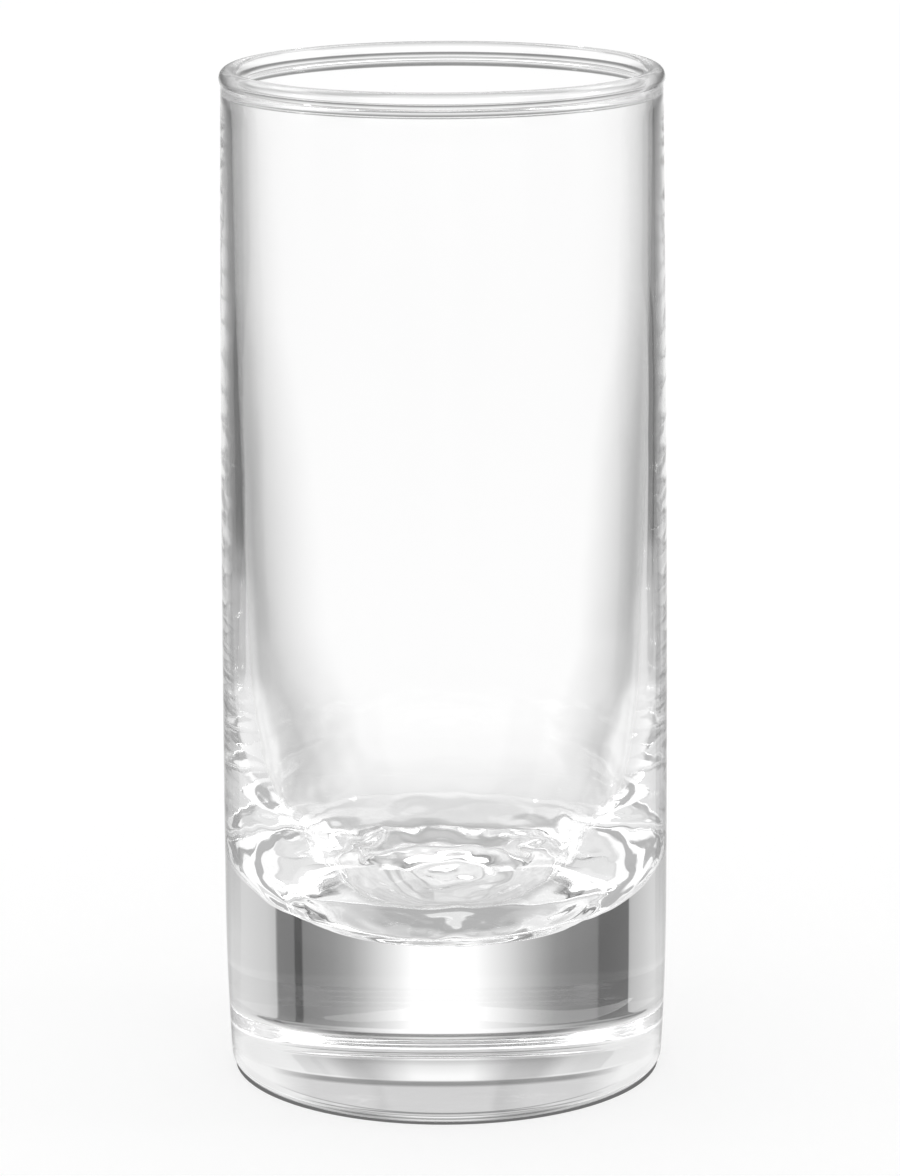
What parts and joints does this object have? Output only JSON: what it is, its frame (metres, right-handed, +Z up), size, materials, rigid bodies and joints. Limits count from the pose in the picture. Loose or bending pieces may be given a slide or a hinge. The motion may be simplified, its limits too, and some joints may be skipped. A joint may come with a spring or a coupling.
{
  "type": "schnapps glass",
  "caption": "Tall straight schnapps glass of clear glass with a rounded rim bead, a thin wall and a heavy solid base, for serving spirits.",
  "frame": {"origin": "on the axis of the glass, at the height of the flat ring that it stands on", "axes": "+Z up along the axis of the glass, through the open mouth; X and Y are alike"},
  "size_m": [0.0384, 0.0384, 0.087],
  "materials": {
    "clear_glass": "clear, fire-polished"
  },
  "bodies": {
    "root": {"glass_body": "clear_glass"}
  },
  "joints": []
}
